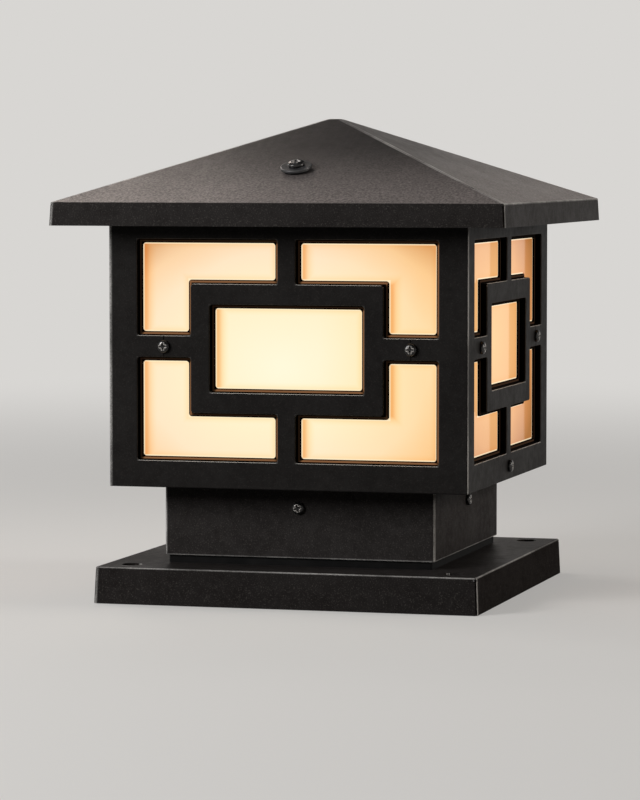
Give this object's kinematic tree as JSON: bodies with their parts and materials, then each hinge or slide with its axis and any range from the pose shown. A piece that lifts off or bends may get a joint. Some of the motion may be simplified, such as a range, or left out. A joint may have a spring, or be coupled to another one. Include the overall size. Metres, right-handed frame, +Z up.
{
  "type": "pillar light",
  "caption": "Square pillar light with a pyramid roof that lifts off, lattice panels over lit opal diffusers, a screw-in bulb, and a neck on a base tray with anchor holes.",
  "frame": {"origin": "middle of the base tray's footprint on the ground", "axes": "+Z up, -Y towards the front lattice panel, +X to the right"},
  "size_m": [0.3, 0.3, 0.315],
  "materials": {
    "black_powder_coat": "fine textured powder coat",
    "opal_acrylic": "polished opal",
    "black_steel": "black zinc",
    "zinc_steel": "zinc plated",
    "rubber": "moulded",
    "porcelain": "glazed",
    "brass": "plain",
    "bare_metal": "rolled thread",
    "bulb_glass": "frosted",
    "dark_glass": "fused"
  },
  "bodies": {
    "lantern": {"back_diffuser": "opal_acrylic", "back_left_bracket": "zinc_steel", "back_panel": "black_powder_coat", "base_gasket": "rubber", "base_tray": "black_powder_coat", "cable_grommet": "rubber", "collar_screws": "zinc_steel", "corner_bracket_screws": "zinc_steel", "diffuser_clips": "zinc_steel", "earth_screw": "brass", "earth_washer": "brass", "floor_inner_screws": "zinc_steel", "floor_pan": "black_powder_coat", "floor_side_screws": "black_steel", "front_diffuser": "opal_acrylic", "front_panel": "black_powder_coat", "front_right_bracket": "zinc_steel", "holder_contact": "brass", "holder_screws": "zinc_steel", "holder_shell": "brass", "lamp_holder": "porcelain", "lattice_nuts": "zinc_steel", "lattice_screws": "black_steel", "left_diffuser": "opal_acrylic", "left_front_bracket": "zinc_steel", "left_panel": "black_powder_coat", "neck_bolts": "zinc_steel", "neck_collar": "black_powder_coat", "neck_nuts": "zinc_steel", "neck_screws": "black_steel", "neck_sleeve": "black_powder_coat", "right_back_bracket": "zinc_steel", "right_diffuser": "opal_acrylic", "right_panel": "black_powder_coat", "roof_gasket": "rubber", "terminal_block": "porcelain", "terminal_fixing_screw": "zinc_steel", "terminal_screws": "brass"},
    "roof": {"roof_cap": "black_powder_coat", "roof_screws": "black_steel", "roof_washers": "black_steel", "roof_seals": "rubber", "roof_nuts": "zinc_steel", "front_roof_clip": "zinc_steel", "back_roof_clip": "zinc_steel"},
    "bulb_cap_body": {"bulb_cap": "bare_metal", "bulb_insulator": "dark_glass", "bulb_tip": "brass"},
    "bulb_body": {"bulb_globe": "bulb_glass"}
  },
  "joints": [
    {"name": "roof_lift", "type": "slide", "parent": "lantern", "child": "roof", "axis": [0, 0, 1], "range_m": [0, 0.15]},
    {"name": "bulb_rise", "type": "slide", "parent": "lantern", "child": "bulb_cap_body", "axis": [0, 0, 1], "range_m": [0, 0.01634]},
    {"name": "bulb_turn", "type": "hinge", "parent": "bulb_cap_body", "child": "bulb_body", "pos_m": [0, 0, 0.172], "axis": [0, 0, 1], "range_deg": [0, 1620]}
  ],
  "couplings": [
    {"joint": "bulb_rise", "follows": "bulb_turn", "m_per_rad": 0.00057757}
  ]
}
